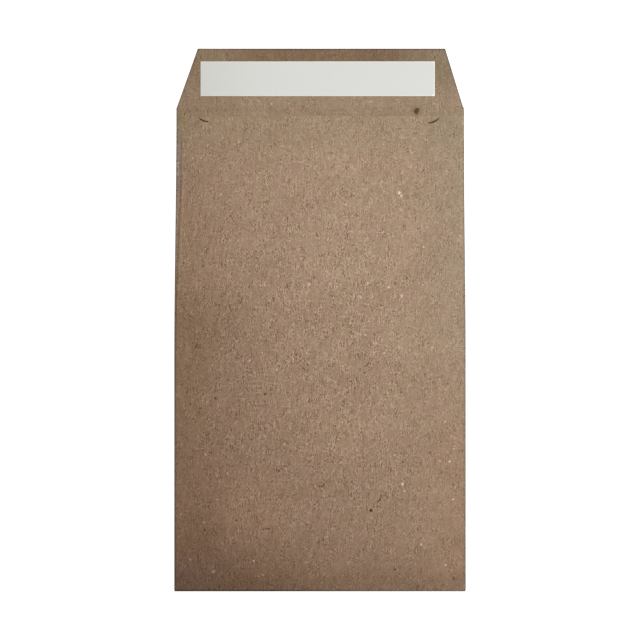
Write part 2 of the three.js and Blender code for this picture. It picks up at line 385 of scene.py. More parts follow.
# %% Fold the whole blank
def folded(u, v):
    """The folded place of the blank's point at u across and v along."""
    centred = clamp((u + FLAT_HALF) / (2 * FLAT_HALF))
    if v <= BACK_START:
        y = BEND_Y + BACK_START - v
        x = between(*back_edges(y), centred)
        return Vector((x, y, BACK_MIDDLE + back_rise(x, y)))
    if v < BEND_Y:
        turn = (BEND_Y - v) / BOTTOM_BEND
        x = between(*back_edges(BEND_Y), centred)
        y = BEND_Y - BOTTOM_BEND * math.sin(turn)
        return Vector((x, y, MIDDLE + BOTTOM_BEND * (1 - math.cos(turn))))
    if v > FLAP_FOLD_Y:
        x = between(*flap_edges(v), centred)
        return Vector((x, v, MIDDLE + flap_lift(x, v) + crease_shape(v)))
    x, z = side_section(u, v)
    if abs(u) <= FLAT_HALF:
        x = between(between(*back_edges(BEND_Y), centred), x, smooth(v, BEND_Y, NOTCH_Y))
        return Vector((x, v, z + crease_shape(v)))
    return Vector((x, side_flap_y(u, v), z))


print("a bottom corner lands at", tuple(round(value, 2) for value in folded(-FLAT_HALF, BEND_Y)))

# %% [markdown]
# The paper's pattern has to run on round each fold, so every corner keeps its place on the flat blank in
# a UV map before the sheet is folded. Two attributes go with it. One says how far a point lies outside
# the back panel's edge, where the seam's line is drawn on the side flaps. The other says how far it lies
# inside the outline, for the painted shade and highlights along folds and cut edges.

# %% Keep the flat places, then fold
def from_outline(place):
    """How far a folded point lies inside the outline, in mm."""
    if place.y <= FLAP_FOLD_Y:
        side = LEFT if place.x < 0 else RIGHT
        return min(half_across(place.y, side) - abs(place.x), place.y - BOTTOM_Y)
    left, right = flap_edges(place.y)
    return min(place.x - left, right - place.x, FLAP_EDGE_Y - place.y)


blank_map = blank.loops.layers.uv.new("blank")
outside_back = blank.verts.layers.float.new("outside_back")
inside_outline = blank.verts.layers.float.new("inside_outline")
flat_places = {}
for vert in blank.verts:
    u, v = vert.co.xy
    place = folded(u, v)
    across = place.x if abs(u) <= FLAT_HALF else u
    flat_places[vert.index] = (across * MM, v * MM)
    left, right = back_edges(place.y)
    vert[outside_back] = max(left - place.x, place.x - right)
    vert[inside_outline] = from_outline(place)
    vert.co = place
for face in blank.faces:
    for loop in face.loops:
        loop[blank_map].uv = flat_places[loop.vert.index]
print("folded height in mm:", round(max(vert.co.z for vert in blank.verts), 2))

# %% [markdown]
# ## The nicks at the corners of the mouth
# Beside each side flap's inner corner a short curved slit runs through the back panel. Each is cut the
# way a knife does it: the panel's faces there are divided along the slit's outline, and the sliver
# inside falls out. Its lips stand up a little, so that the slit throws its own shade.

# %% Outlines of the two slits
LEFT_NICK = [(-62.5, 104.5), (-61.2, 103.55), (-59.6, 102.65), (-57.4, 102.25)]
LEFT_NICK += [(-57.6, 101.6), (-59.9, 101.8), (-61.6, 102.95)]
RIGHT_NICK = [(61.9, 104.75), (60.2, 103.35), (58.2, 102.35), (55.4, 101.3)]
RIGHT_NICK += [(56.0, 100.9), (58.6, 101.3), (60.6, 102.7)]
ON_BACK_PANEL = BACK_MIDDLE - 0.05  # only the back panel lies above this
NEAR_NICK = 5.5
WELD = 0.004


def edges_of(polygon):
    """The polygon's edges, each as its two ends."""
    return zip(polygon, polygon[1:] + polygon[:1])


def middle_of(polygon):
    return sum((Vector(point) for point in polygon), Vector((0, 0))) / len(polygon)


def inside_polygon(x, y, polygon):
    """Whether a point lies inside, by counting the edges that a ray to its right crosses."""
    crossings = 0
    for (ax, ay), (bx, by) in edges_of(polygon):
        if (ay > y) != (by > y) and x < ax + (y - ay) * (bx - ax) / (by - ay):
            crossings += 1
    return crossings % 2 == 1


def back_faces(mesh):
    """The faces of the back panel, each with its centre."""
    centred = [(face, face.calc_center_median()) for face in mesh.faces]
    return [(face, centre) for face, centre in centred if centre.z > ON_BACK_PANEL]


def cut_slit(mesh, polygon):
    """Divides the back panel's faces along the polygon's edges and drops what lies inside it."""
    middle = middle_of(polygon)
    for (ax, ay), (bx, by) in edges_of(polygon):
        near = [face for face, centre in back_faces(mesh) if (centre.xy - middle).length < NEAR_NICK]
        parts = {e for f in near for e in f.edges} | {v for f in near for v in f.verts} | set(near)
        normal = Vector((ay - by, bx - ax, 0)).normalized()
        bmesh.ops.bisect_plane(mesh, geom=list(parts), dist=WELD, plane_co=(ax, ay, 0), plane_no=normal)
    sliver = [face for face, centre in back_faces(mesh) if inside_polygon(*centre.xy, polygon)]
    bmesh.ops.delete(mesh, geom=sliver, context="FACES")
    return len(sliver)


# %% Cut both slits and lift their lips
LIP_LIFT = 0.3
LIP_WIDTH = 3.0

for name, polygon in (("left", LEFT_NICK), ("right", RIGHT_NICK)):
    print(name, "slit: faces dropped", cut_slit(blank, polygon))
for vert in blank.verts:
    if vert.co.z < ON_BACK_PANEL:
        continue
    for polygon in (LEFT_NICK, RIGHT_NICK):
        away = (vert.co.xy - middle_of(polygon)).length
        vert.co.z += LIP_LIFT * math.exp(-((away / LIP_WIDTH) ** 2))

# %% [markdown]
# ## From surface to sheet
# The folded surface gets its 0.18 mm from a Solidify modifier, half to each side. The modifier can give
# the far side and the rim their own materials, which suits paper: the outer face is the one that gets
# handled, and the cut edge is paler than both.

# %% Make an object from a bmesh in millimetres
OUTER_SLOT = 1
RIM_SLOT = 2
SHARP_ANGLE = math.radians(35)


def sheet_object(mesh, name, thickness):
    """An object in metres from a mesh in mm, with a modifier that thickens it to both sides."""
    bmesh.ops.scale(mesh, vec=(MM, MM, MM), verts=mesh.verts)
    data = bpy.data.meshes.new(name)
    mesh.to_mesh(data)
    mesh.free()
    made = bpy.data.objects.new(name, data)
    bpy.context.scene.collection.objects.link(made)
    thicken = made.modifiers.new("paper_thickness", "SOLIDIFY")
    thicken.thickness = thickness * MM
    thicken.offset = 0
    thicken.material_offset = OUTER_SLOT
    thicken.material_offset_rim = RIM_SLOT
    return made


def apply_modifiers(made):
    """Swaps the mesh for what its modifiers make of it, smooth but for its cut edges."""
    shaped = made.evaluated_get(bpy.context.evaluated_depsgraph_get())
    finished = bpy.data.meshes.new_from_object(shaped)
    made.modifiers.clear()
    made.data = finished
    finished.shade_smooth()
    finished.set_sharp_from_angle(angle=SHARP_ANGLE)
    finished.name = made.name
    print(made.name, "has", sum(len(face.vertices) - 2 for face in finished.polygons), "triangles")


kraft_envelope = sheet_object(blank, "kraft_envelope", PAPER)
print("faces in the folded sheet:", len(kraft_envelope.data.polygons))

# %% [markdown]
# ## The closing strip
# On the flap lies a strip of glue under a pale release liner. Both are thin sheets that follow the
# flap's own lift, so each is a small grid laid on the same surface function, one above the other. The
# liner's long edges curl up by a hair, as coated paper does.

# %% Lay both strips on the flap
STRIP_THICKNESS = 0.1
STRIP_FACES = (80, 18)
GLUE_LEVEL = 0.055  # the strips' middles above the flap's face
LINER_LEVEL = 0.16
LINER_CURL = 0.03
CURL_WIDTH = 3.2
LINER_TRIM = 0.35 * MM


def laid_strip(low, high, level, curl):
    """A grid over the CAD box's outline, level above the flap's face, with its long edges curled up."""
    strip = flat_grid(*STRIP_FACES)
    middle_y = (low.y + high.y) / 2 / MM
    half = (high.y - low.y) / 2 / MM
    rim = strip.verts.layers.float.new("inside_outline")
    for vert in strip.verts:
        x = between(low.x, high.x, vert.co.x + 0.5) / MM
        y = between(low.y, high.y, vert.co.y + 0.5) / MM
        lift = curl * smooth(abs(y - middle_y), half - CURL_WIDTH, half)
        vert[rim] = min(x - low.x / MM, high.x / MM - x, half - abs(y - middle_y))
        vert.co = (x, y, PAPER + flap_lift(x, y) + crease_shape(y) + level + lift)
    return strip


adhesive_low, adhesive_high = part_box("adhesive_strip")
liner_low, liner_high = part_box("release_liner")
liner_high.x -= LINER_TRIM
glue_grid = laid_strip(adhesive_low, adhesive_high, GLUE_LEVEL, 0)
glue_line = sheet_object(glue_grid, "glue_line", STRIP_THICKNESS)
liner_grid = laid_strip(liner_low, liner_high, LINER_LEVEL, LINER_CURL)
liner_strip = sheet_object(liner_grid, "liner_strip", STRIP_THICKNESS)
print("liner in mm:", box_in_mm(liner_low, liner_high))

# %% [markdown]
# ## Node helpers
# A material is a tree of nodes. Written out one by one the nodes of this paper would fill pages, so a
# few helpers make a node, feed its inputs and hand back its result. With them a material reads like a
# small sum. The first ones feed sockets and do arithmetic.


# %% Helpers for values
def feed(tree, socket, value):
    """Links an output to the socket, or sets the socket's own value, a colour's as an opaque one."""
    if isinstance(value, bpy.types.NodeSocket):
        tree.links.new(value, socket)
    elif socket.type == "RGBA":
        socket.default_value = (*value, 1)
    else:
        socket.default_value = value


def node(tree, kind, **inputs):
    """A new shader node with its inputs fed by name."""
    made = tree.nodes.new("ShaderNode" + kind)
    for name, value in inputs.items():
        feed(tree, made.inputs[name.replace("_", " ")], value)
    return made


def calc(tree, operation, *values):
    """The result of a Math operation. Past the first two, values are taken in one after the other."""
    made = node(tree, "Math")
    made.operation = operation
    for socket, value in zip(made.inputs, values[:2]):
        feed(tree, socket, value)
    if len(values) > 2:
        return calc(tree, operation, made.outputs[0], *values[2:])
    return made.outputs[0]


def weighed(tree, *parts):
    """The sum of two or more values, each times its weight."""
    return calc(tree, "ADD", *(calc(tree, "MULTIPLY", value, weight) for value, weight in parts))


def vector_calc(tree, operation, *values):
    """The result of one Vector Math node."""
    made = node(tree, "VectorMath")
    made.operation = operation
    for socket, value in zip(made.inputs, values):
        feed(tree, socket, value)
    return made.outputs["Value" if operation == "DISTANCE" else "Vector"]


# %% [markdown]
# The next ones give a soft step, which every mask here is made of, then mixed colours, noise on a flat
# place, and a place that is turned round a centre.

# %% Helpers for masks, colours and places
def ramp(tree, value, low, high):
    """0 where the value is at low, 1 where it is at high, smooth between them, whichever is larger."""
    made = node(tree, "MapRange", Value=value, From_Min=low, From_Max=high)
    made.interpolation_type = "SMOOTHSTEP"
    return made.outputs["Result"]


def mixed(tree, share, first, second, blend="MIX"):
    """Two colours mixed by a share."""
    made = node(tree, "Mix")
    made.data_type = "RGBA"
    made.blend_type = blend
    for index, value in ((0, share), (6, first), (7, second)):
        feed(tree, made.inputs[index], value)
    return made.outputs[2]


def tinted(tree, colour, share, tint):
    """The colour multiplied by a tint, as far as the share says."""
    return mixed(tree, share, colour, tint, "MULTIPLY")


def flat_noise(tree, place, scale, detail=2.0, roughness=0.5):
    """The outputs of noise on a flat place."""
    made = node(tree, "TexNoise", Vector=place, Scale=scale, Detail=detail, Roughness=roughness)
    made.noise_dimensions = "2D"
    return made.outputs


def turned(tree, place, angle, centre=(0, 0, 0)):
    """The place turned on the flat round a centre."""
    made = node(tree, "VectorRotate", Vector=place, Center=centre, Angle=angle)
    made.rotation_type = "Z_AXIS"
    return made.outputs[0]


# %% [markdown]
# A node group is a node of one's own making. It is built once and used many times over, as a function is.

# %% Helpers for node groups
def new_group(name, vectors, floats, results=(("Mask", "Float"),)):
    """An empty group, what it is given on its inside, and the inputs of its last node."""
    group = bpy.data.node_groups.new(name, "ShaderNodeTree")
    given = [(word, "Vector") for word in vectors] + [(word, "Float") for word in floats]
    for way, sockets in (("INPUT", given), ("OUTPUT", results)):
        for word, kind in sockets:
            group.interface.new_socket(word, in_out=way, socket_type="NodeSocket" + kind)
    first = group.nodes.new("NodeGroupInput")
    last = group.nodes.new("NodeGroupOutput")
    return group, first.outputs, last.inputs


def grouped(tree, group, *values):
    """The outputs of a group that is put in the tree and fed in order."""
    made = node(tree, "Group")
    made.node_tree = group
    for socket, value in zip(made.inputs, values):
        feed(tree, socket, value)
    return made.outputs


# %% [markdown]
# ## Loose fibres
# Recycled kraft shows single fibres, a few millimetres long, lying every way. They could be modelled as
# thousands of hairs, or drawn: a Voronoi texture splits the sheet into cells, and each cell draws one
# short stroke through its own centre at its own random angle. Bending the coordinates with a little
# noise first curls the strokes. A node group makes one such layer, and several of them overlap.

# %% One bowed stroke
TIP_START = 0.6  # a stroke's ends fade from this share of its half length on


def stroke(tree, place, half_length, bow, rim, core):
    """The mask of a slightly bowed stroke along x, from its rim in to its core."""
    along, across, _ = node(tree, "SeparateXYZ", Vector=place).outputs
    bowed = calc(tree, "MULTIPLY", calc(tree, "POWER", calc(tree, "DIVIDE", along, half_length), 2), bow)
    body = ramp(tree, calc(tree, "ABSOLUTE", calc(tree, "SUBTRACT", across, bowed)), rim, core)
    tip_start = calc(tree, "MULTIPLY", half_length, TIP_START)
    tips = ramp(tree, calc(tree, "ABSOLUTE", along), half_length, tip_start)
    return calc(tree, "MULTIPLY", body, tips)


# %% One layer of fibres
SEED_SLANT = 1.7
CURL_SCALE = 0.35
FIBRE_CURL = 2.6
FULL_TURN = 6.283
SHORTEST = 0.35
FIBRE_BOW = 0.25
FAINTEST = 0.4


def make_fibre_layer():
    """A group that draws one fibre in each cell, sizes in mm."""
    sizes = ("Cell", "Half length", "Half width", "Share", "Seed")
    tree, given, result = new_group("fibre_layer", ("Place",), sizes)
    seed = given["Seed"]
    shift = node(tree, "CombineXYZ", X=seed, Y=calc(tree, "MULTIPLY", seed, SEED_SLANT)).outputs[0]
    moved = vector_calc(tree, "ADD", given["Place"], shift)
    curl = flat_noise(tree, moved, CURL_SCALE, detail=1.0)["Color"]
    curled = vector_calc(tree, "MULTIPLY_ADD", curl, (FIBRE_CURL, FIBRE_CURL, 0), moved)
    cells = node(tree, "TexVoronoi", Vector=curled, Scale=calc(tree, "DIVIDE", 1, given["Cell"]))
    cells.voronoi_dimensions = "2D"
    from_middle = vector_calc(tree, "SUBTRACT", curled, cells.outputs["Position"])
    direction, lot, size = node(tree, "SeparateColor", Color=cells.outputs["Color"]).outputs
    lying = turned(tree, from_middle, calc(tree, "MULTIPLY", direction, FULL_TURN))
    half_length = calc(tree, "MULTIPLY", given["Half length"], calc(tree, "ADD", size, SHORTEST))
    fibre = stroke(tree, lying, half_length, FIBRE_BOW, given["Half width"], 0.0)
    drawn = calc(tree, "LESS_THAN", lot, given["Share"])
    strength = calc(tree, "ADD", calc(tree, "MULTIPLY", size, 1 - FAINTEST), FAINTEST)
    feed(tree, result[0], calc(tree, "MULTIPLY", fibre, calc(tree, "MULTIPLY", drawn, strength)))
    return tree


fibre_layer = make_fibre_layer()
print("fibre layer nodes:", len(fibre_layer.nodes))


# %% [markdown]
# ## The paper's pattern
# From far to near, the paper has slow clouds where the pulp settled unevenly, a felt of fine crossing
# fibres that gives the mottle, single dark and pale fibres on top, and specks of other stock. The felt
# is noise stretched along one direction. Most of it runs the long way of the sheet, as fibres do that
# settle on a moving wire. One node group makes all of the pattern from the flat map, and hands out a
# colour and a height. Its one input says how lively the felt is, because the smoother inner face shows
# less of it.

# %% Stretched noise
FELT_ROUGHNESS = 0.6


def felt(tree, place, angle, along, across, detail):
    """Noise between -1 and 1, with a grain of that many mm along and across its direction."""
    squeezed = vector_calc(tree, "MULTIPLY", turned(tree, place, angle), (1 / along, 1 / across, 1))
    grain = flat_noise(tree, squeezed, 1.0, detail, FELT_ROUGHNESS)[0]
    return calc(tree, "MULTIPLY", calc(tree, "SUBTRACT", grain, 0.5), 2.0)


# %% Kinds of fibre, as cell, half length, half width, share and seed
DARK_FIBRES = ((3.0, 1.4, 0.22, 0.9, 3.0), (5.5, 2.2, 0.28, 0.4, 17.0), (2.2, 1.0, 0.2, 0.8, 41.0))
PALE_FIBRES = ((2.8, 1.3, 0.22, 0.9, 71.0), (4.4, 1.7, 0.24, 0.5, 95.0), (2.1, 1.0, 0.2, 0.8, 113.0))
DARK_SPECKS = (5.0, 0.65, 0.45, 0.3, 133.0)
PALE_FLECKS = (6.5, 0.65, 0.5, 0.3, 171.0)
KRAFT = (0.349, 0.249, 0.167)
DARK_FIBRE = (0.13, 0.08, 0.048)
PALE_FIBRE = (0.60, 0.48, 0.36)
DARK_SPECK = (0.08, 0.05, 0.03)
PALE_FLECK = (0.78, 0.68, 0.54)


def fibre_mask(tree, place, *kinds):
    """The mask of one layer for each kind of fibre, laid over each other."""
    masks = [grouped(tree, fibre_layer, place, *kind)[0] for kind in kinds]
    return calc(tree, "MAXIMUM", *masks) if len(masks) > 1 else masks[0]


print("fibre layers in the paper:", len(DARK_FIBRES + PALE_FIBRES) + 2)


# %% The felt, from slow clouds to single threads
CROSSING_ANGLES = (1.75, 0.9, 2.2)
QUIET = 0.35  # the felt's strength where it is calmest, and how much livelier it gets in patches
LIVELY = 1.3


def felt_parts(tree, place):
    """The felt's crossing threads, its grain and the sum of its fine parts."""
    first = felt(tree, place, angle=1.4, along=2.4, across=0.4, detail=1.0)
    others = [felt(tree, place, angle, along=2.0, across=0.4, detail=1.0) for angle in CROSSING_ANGLES]
    crossed = calc(tree, "ADD", first, *others)
    grain = felt(tree, place, angle=1.57, along=1.15, across=0.38, detail=2.0)
    streaks = felt(tree, place, angle=1.57, along=6.0, across=0.6, detail=1.0)
    return crossed, grain, weighed(tree, (crossed, 0.15), (grain, 0.75), (streaks, 0.32))


def felt_colour(tree, place, fine, felt_share):
    """Kraft that swings darker and paler with the felt, and slowly redder and bluer."""
    clouds = felt(tree, place, angle=1.3, along=26, across=19, detail=3.0)
    mottle = felt(tree, place, angle=1.5, along=8.0, across=2.4, detail=2.0)
    patches = ramp(tree, felt(tree, place, angle=0.7, along=7.0, across=5.0, detail=1.0), -0.35, 0.35)
    liveliness = calc(tree, "ADD", QUIET, calc(tree, "MULTIPLY", patches, LIVELY))
    liveliness = calc(tree, "MULTIPLY", liveliness, felt_share)
    swing = weighed(tree, (clouds, 0.14), (mottle, 0.17), (fine, liveliness))
    blush = felt(tree, place, angle=2.2, along=13.0, across=10.0, detail=3.0)
    chill = felt(tree, place, angle=0.9, along=9.0, across=11.0, detail=3.0)
    red = weighed(tree, (swing, 0.86), (blush, 0.055))
    blue = weighed(tree, (swing, 1.15), (blush, 0.035), (chill, 0.06))
    swings = node(tree, "CombineXYZ", X=red, Y=swing, Z=blue).outputs[0]
    return vector_calc(tree, "MULTIPLY_ADD", swings, KRAFT, KRAFT)


# %% Felt and fibres in one group
def make_pattern():
    """The group that gives the kraft its colour and its height."""
    results = (("Color", "Color"), ("Height", "Float"))
    tree, given, result = new_group("kraft_pattern", (), ("Felt",), results)
    blank_places = node(tree, "UVMap")
    blank_places.uv_map = "blank"
    place = vector_calc(tree, "MULTIPLY", blank_places.outputs[0], (1 / MM, 1 / MM, 1 / MM))
    crossed, grain, fine = felt_parts(tree, place)
    colour = felt_colour(tree, place, fine, given["Felt"])
    dark = calc(tree, "MULTIPLY", fibre_mask(tree, place, *DARK_FIBRES), given["Felt"])
    pale = calc(tree, "MULTIPLY", fibre_mask(tree, place, *PALE_FIBRES), given["Felt"])
    for mask, strength, shade in (
        (dark, 0.52, DARK_FIBRE),
        (pale, 0.6, PALE_FIBRE),
        (fibre_mask(tree, place, DARK_SPECKS), 0.7, DARK_SPECK),
        (fibre_mask(tree, place, PALE_FLECKS), 0.5, PALE_FLECK),
    ):
        colour = mixed(tree, calc(tree, "MULTIPLY", mask, strength), colour, shade)
    feed(tree, result["Color"], colour)
    raised = calc(tree, "ADD", dark, pale)
    feed(tree, result["Height"], weighed(tree, (crossed, 0.25), (grain, 0.5), (raised, 0.5)))
    return tree


kraft_pattern = make_pattern()
print("pattern nodes:", len(kraft_pattern.nodes))

# %% [markdown]
# ## Marks
# The sheet has a few marks of its own: a soft blot by the mouth, dark and pale inclusions in the back,
# a few single hairs that stand out from the rest, and two pale smudges near the bottom. A blot or an
# inclusion is a round spot whose rim is made uneven by noise, and a hair is the fibres' bowed stroke.
# Their places are in the object's own millimetres, because they belong to places on the folded envelope.


# %% One soft spot and one short hair
RAGGED_SCALE = 0.9
HAIR_BOW = 0.3
HAIR_RIM = 0.45
HAIR_CORE = 0.1


def make_soft_spot():
    """A group that draws a round spot, whose core is a share of its radius."""
    tree, given, result = new_group("soft_spot", ("Place", "Centre"), ("Radius", "Core"))
    away = vector_calc(tree, "DISTANCE", given["Place"], given["Centre"])
    scale = calc(tree, "DIVIDE", RAGGED_SCALE, given["Radius"])
    ragged = calc(tree, "SUBTRACT", flat_noise(tree, given["Place"], scale)[0], 0.5)
    reached = calc(tree, "ADD", away, calc(tree, "MULTIPLY", ragged, given["Radius"]))
    core = calc(tree, "MULTIPLY", given["Radius"], given["Core"])
    feed(tree, result[0], ramp(tree, reached, given["Radius"], core))
    return tree


def make_short_hair():
    """A group that draws one hair round its middle."""
    tree, given, result = new_group("short_hair", ("Place", "Centre"), ("Angle", "Half length"))
    lying = turned(tree, given["Place"], given["Angle"], given["Centre"])
    from_middle = vector_calc(tree, "SUBTRACT", lying, given["Centre"])
    feed(tree, result[0], stroke(tree, from_middle, given["Half length"], HAIR_BOW, HAIR_RIM, HAIR_CORE))
    return tree


def strongest(tree, group, place, marks):
    """The strongest of several marks. Each is its place across and along, its shape and its strength."""
    masks = []
    for x, y, *shape, strength in marks:
        mask = grouped(tree, group, place, (x, y, 0), *shape)[0]
        masks.append(calc(tree, "MULTIPLY", mask, strength))
    return calc(tree, "MAXIMUM", 0.0, *masks)


soft_spot = make_soft_spot()
short_hair = make_short_hair()
print("spot nodes:", len(soft_spot.nodes), "hair nodes:", len(short_hair.nodes))

# %% Spots, as across, along, radius, core and strength
BACK_DARK = [(26.3, -98.0, 1.1, 0.4, 1.0), (-59.1, -108.0, 0.8, 0.3, 0.8), (38.5, -128.3, 0.8, 0.3, 0.8)]
BACK_DARK += [(-53.7, -40.4, 0.9, 0.3, 0.8), (-28.3, -38.2, 0.8, 0.3, 0.8), (-46.2, -15.8, 0.8, 0.3, 0.7)]
BACK_DARK += [(-45.8, 5.0, 0.7, 0.3, 0.6), (-63.9, 10.4, 0.7, 0.3, 0.6), (-36.0, 50.2, 0.7, 0.3, 0.6)]
BACK_PALE = [(40.7, 65.4, 1.1, 0.4, 0.9), (41.9, 63.8, 0.9, 0.3, 0.7), (41.9, 12.3, 0.9, 0.3, 0.8)]
BACK_PALE += [(35.4, 16.9, 0.8, 0.3, 0.7), (33.0, -17.0, 0.8, 0.3, 0.7), (23.5, -7.7, 0.8, 0.3, 0.6)]
BACK_PALE += [(42.7, -84.4, 1.2, 0.3, 0.8), (43.4, -88.0, 0.8, 0.3, 0.6), (66.7, -72.7, 0.9, 0.4, 0.9)]
BACK_PALE += [(68.5, -92.3, 0.8, 0.3, 0.8), (52.0, -115.5, 0.8, 0.3, 0.8), (64.6, -126.0, 0.8, 0.3, 0.7)]
BACK_PALE += [(-36.1, -20.9, 0.8, 0.3, 0.7), (-22.1, -25.7, 0.8, 0.3, 0.7), (-58.9, -69.0, 0.8, 0.3, 0.7)]
BACK_PALE += [(-59.7, -104.1, 0.8, 0.3, 0.6), (-66.7, -123.3, 0.8, 0.3, 0.6), (-34.1, -123.9, 0.9, 0.3, 0.7)]
BACK_PALE += [(-29.5, -131.1, 0.8, 0.3, 0.6), (-72.6, -111.6, 0.7, 0.3, 0.5), (-54.9, -129.6, 0.9, 0.3, 0.6)]
FLAP_DARK = [(49.5, 107.7, 4.0, 0.0, 0.35), (49.5, 107.7, 2.2, 0.35, 0.9), (54.0, 128.6, 0.9, 0.2, 0.7)]
FLAP_PALE = [(56.6, 130.6, 0.9, 0.2, 0.5)]
# Painted shade under the two nicks, inside the pocket.
UNDER_NICKS = [(-60.0, 102.6, 3.6, 0.8, 1.0), (58.8, 102.7, 4.2, 0.8, 1.0)]
# Broad painted shade on the left and over the lower left corner, and broad painted light in two places lower
# down.
BROAD_DARK = [(-62.0, -8.0, 40.0, 0.1, 1.0), (-60.0, -140.0, 52.0, 0.3, 0.9)]
BROAD_PALE = [(-28.0, -97.0, 28.0, 0.2, 1.0), (12.0, -57.0, 26.0, 0.2, 0.5)]
SMUDGES = [(-55.0, -128.2, 3.4, 0.1, 1.0), (-30.0, -133.0, 3.0, 0.1, 0.4)]
print("small spots:", len(BACK_DARK + BACK_PALE + FLAP_DARK + FLAP_PALE))

# %% Hairs, as across, along, slant in degrees, half length and strength
HAIRS = [(30.4, -92.8, 52, 1.6, 0.9), (-63.6, -13.1, 75, 1.4, 0.7), (-37.5, -35.7, -60, 1.4, 0.7)]
HAIRS += [(-1.5, 43.5, -68, 1.6, 0.7), (53.0, 76.6, 45, 1.7, 0.5), (16.2, 63.8, 60, 1.3, 0.6)]
HAIRS += [(-27.8, -107.5, 8, 2.4, 0.7), (-43.9, -114.9, 20, 1.4, 0.6), (5.6, 12.6, -30, 1.6, 0.6)]
BACK_HAIRS = [(x, y, -math.radians(slant), *others) for x, y, slant, *others in HAIRS]
print("hairs:", len(BACK_HAIRS))


# %% [markdown]
# ## Tones
# A sheet of real kraft has no even colour: the paper is redder here and greener there, and on top of it
# shade and highlights along the folds and the light falling off are painted in. Painting that by hand would
# need a picture. Here each tone is a zone instead: a few soft limits that are multiplied with each other,
# and the tint that the colour takes on inside them. A zone can end across the sheet (x), along it (y), in
# height (z), or at a distance in from the outline (inside). Each zone's name becomes the label of its node.

# %% A paper material and its zones
RELIEF_DEPTH = 0.06 * MM


def new_material(name, roughness, specular):
    """A material, its tree and its shader, with the constants set on the shader itself."""
    made = bpy.data.materials.new(name)
    made.use_nodes = True
    shader = made.node_tree.nodes["Principled BSDF"]
    shader.inputs["Roughness"].default_value = roughness
    shader.inputs["Specular IOR Level"].default_value = specular
    return made, made.node_tree, shader


def object_mm(tree):
    """Object coordinates in mm: flattened to one level, and across, along and up apart."""
    place = node(tree, "TexCoord").outputs["Object"]
    x, y, z = node(tree, "SeparateXYZ", Vector=place).outputs
    x, y, z = (calc(tree, "MULTIPLY", value, 1 / MM) for value in (x, y, z))
    return node(tree, "CombineXYZ", X=x, Y=y).outputs[0], x, y, z


def attribute(tree, name):
    made = node(tree, "Attribute")
    made.attribute_name = name
    return made.outputs["Fac"]


def zoned(tree, colour, ways, zones):
    """Tints the colour zone by zone. Each limit is a way, where its ramp starts and where it is full."""
    for name, (limits, tint) in zones.items():
        ramps = [ramp(tree, ways[way], start, full) for way, start, full in limits]
        colour = tinted(tree, colour, calc(tree, "MULTIPLY", 1.0, *ramps), tint)
        colour.node.label = name
    return colour


def finish_paper(tree, shader, colour, height, relief):
    """Feeds the paper's colour and its relief to the shader."""
    bump = node(tree, "Bump", Strength=relief, Distance=RELIEF_DEPTH, Height=height)
    feed(tree, shader.inputs["Base Color"], colour)
    feed(tree, shader.inputs["Normal"], bump.outputs[0])


# %% [markdown]
# ## Kraft paper, outside, inside and cut edge
# The three faces share the pattern. The inner face shows on the flap and in the mouth's narrow gap. It
# is smoother and darker, and darker and redder just above the strip. Painted shade darkens the gap, the flap
# towards its edge, its right half and its rim, and painted light brightens the left of the gap. Deep under
# the nicks painted shade makes it nearly black.

# %% The inner face
INNER_FELT = 0.65
INNER_TINT = (0.86, 0.88, 0.86)
STRIP_MIDDLE = 2.0
# Painted light and shade on the inner face: shade in the mouth's gap, towards the flap's edge, on the flap's
# right half and along its cut rim and top rim, and light in the left of the gap.
INNER_ZONES = {
    "painted shade in the mouth's gap": ([("y", 111, 107)], (0.95, 0.95, 0.95)),
    "light in the gap": ([("y", 108, 105.2), ("x", 60, -25)], (1.15, 1.13, 1.10)),
    "painted shade towards the flap's edge": ([("y", 112, 127)], (0.87, 0.90, 0.87)),
    "painted shade on the flap's right half": ([("y", 112, 127), ("x", -60, 70)], (0.88, 0.885, 0.88)),
    "darker and redder above the strip": ([("sideways", 62, 30), ("y", 128, 134)], (0.78, 0.69, 0.65)),
    "rim": ([("inside", 0.8, 0.1)], (0.58, 0.57, 0.66)),
    "painted shade on the flap's top rim": ([("y", 138.7, 139.2), ("x", -55, -42)], (0.80, 0.69, 0.83)),
}
BLOT = (0.06, 0.036, 0.018)
FLAP_SPECK = (0.55, 0.45, 0.35)
DEEP_SHADE = (0.11, 0.07, 0.035)


def make_inner_face():
    made, tree, shader = new_material("kraft_inner_face", roughness=0.92, specular=0.2)
    paper = grouped(tree, kraft_pattern, INNER_FELT)
    level, x, y, _ = object_mm(tree)
    sideways = calc(tree, "ABSOLUTE", calc(tree, "SUBTRACT", x, STRIP_MIDDLE))
    ways = {"x": x, "y": y, "sideways": sideways, "inside": attribute(tree, "inside_outline")}
    colour = tinted(tree, paper["Color"], 1.0, INNER_TINT)
    colour = zoned(tree, colour, ways, INNER_ZONES)
    colour = mixed(tree, strongest(tree, soft_spot, level, FLAP_DARK), colour, BLOT)
    colour = mixed(tree, strongest(tree, soft_spot, level, FLAP_PALE), colour, FLAP_SPECK)
    # Painted shade deep under the nicks, where the back panel covers the inner face.
    under_panel = ramp(tree, y, 104.9, 104.2)
    painted_nick_shade = calc(tree, "MULTIPLY", under_panel, strongest(tree, soft_spot, level, UNDER_NICKS))
    colour = mixed(tree, painted_nick_shade, colour, DEEP_SHADE)
    finish_paper(tree, shader, colour, paper["Height"], relief=0.5)
    return made


inner_face = make_inner_face()
print("inner face nodes:", len(inner_face.node_tree.nodes))
